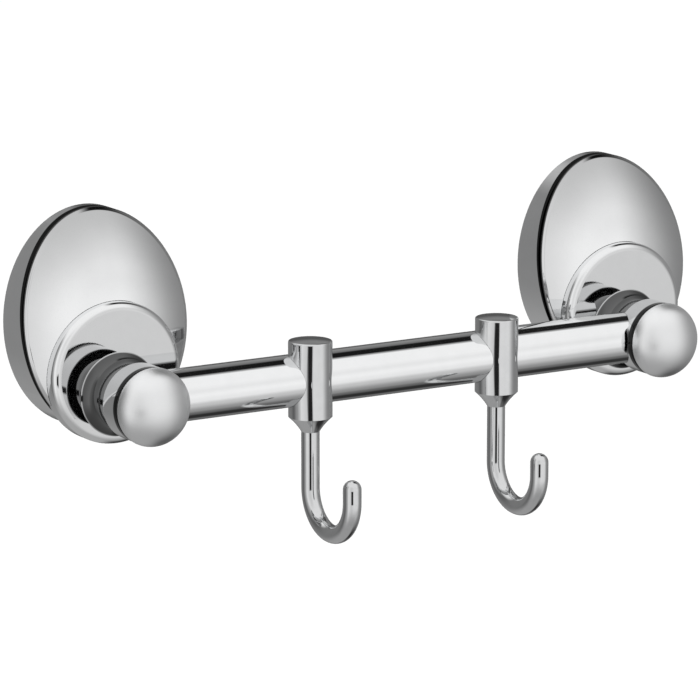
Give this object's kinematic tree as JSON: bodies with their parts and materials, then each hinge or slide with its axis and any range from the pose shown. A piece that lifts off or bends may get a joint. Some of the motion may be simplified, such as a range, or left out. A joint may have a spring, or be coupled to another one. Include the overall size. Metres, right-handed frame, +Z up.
{
  "type": "towel hook rail",
  "caption": "Polished chrome towel hook rail with oval domed wall roses, dome-ended posts, a round tube and J hooks.",
  "frame": {"origin": "centre of the four wall fixing holes, on the wall plane behind the roses", "axes": "+X runs along the rail to the right as seen from the room, -Y comes out of the wall, +Z is up"},
  "size_m": [0.2374, 0.062, 0.1018],
  "materials": {
    "polished_chrome": "mirror polished",
    "bracket_steel": "zinc plated",
    "screw_steel": "bright zinc"
  },
  "bodies": {
    "root": {"left_bracket": "bracket_steel", "right_bracket": "bracket_steel", "left_rose": "polished_chrome", "right_rose": "polished_chrome", "left_post": "polished_chrome", "right_post": "polished_chrome", "rail_tube": "polished_chrome", "left_hook": "polished_chrome", "right_hook": "polished_chrome", "post_screws": "screw_steel", "rose_set_screws": "screw_steel", "tube_set_screws": "screw_steel", "hook_screws": "screw_steel"}
  },
  "joints": []
}
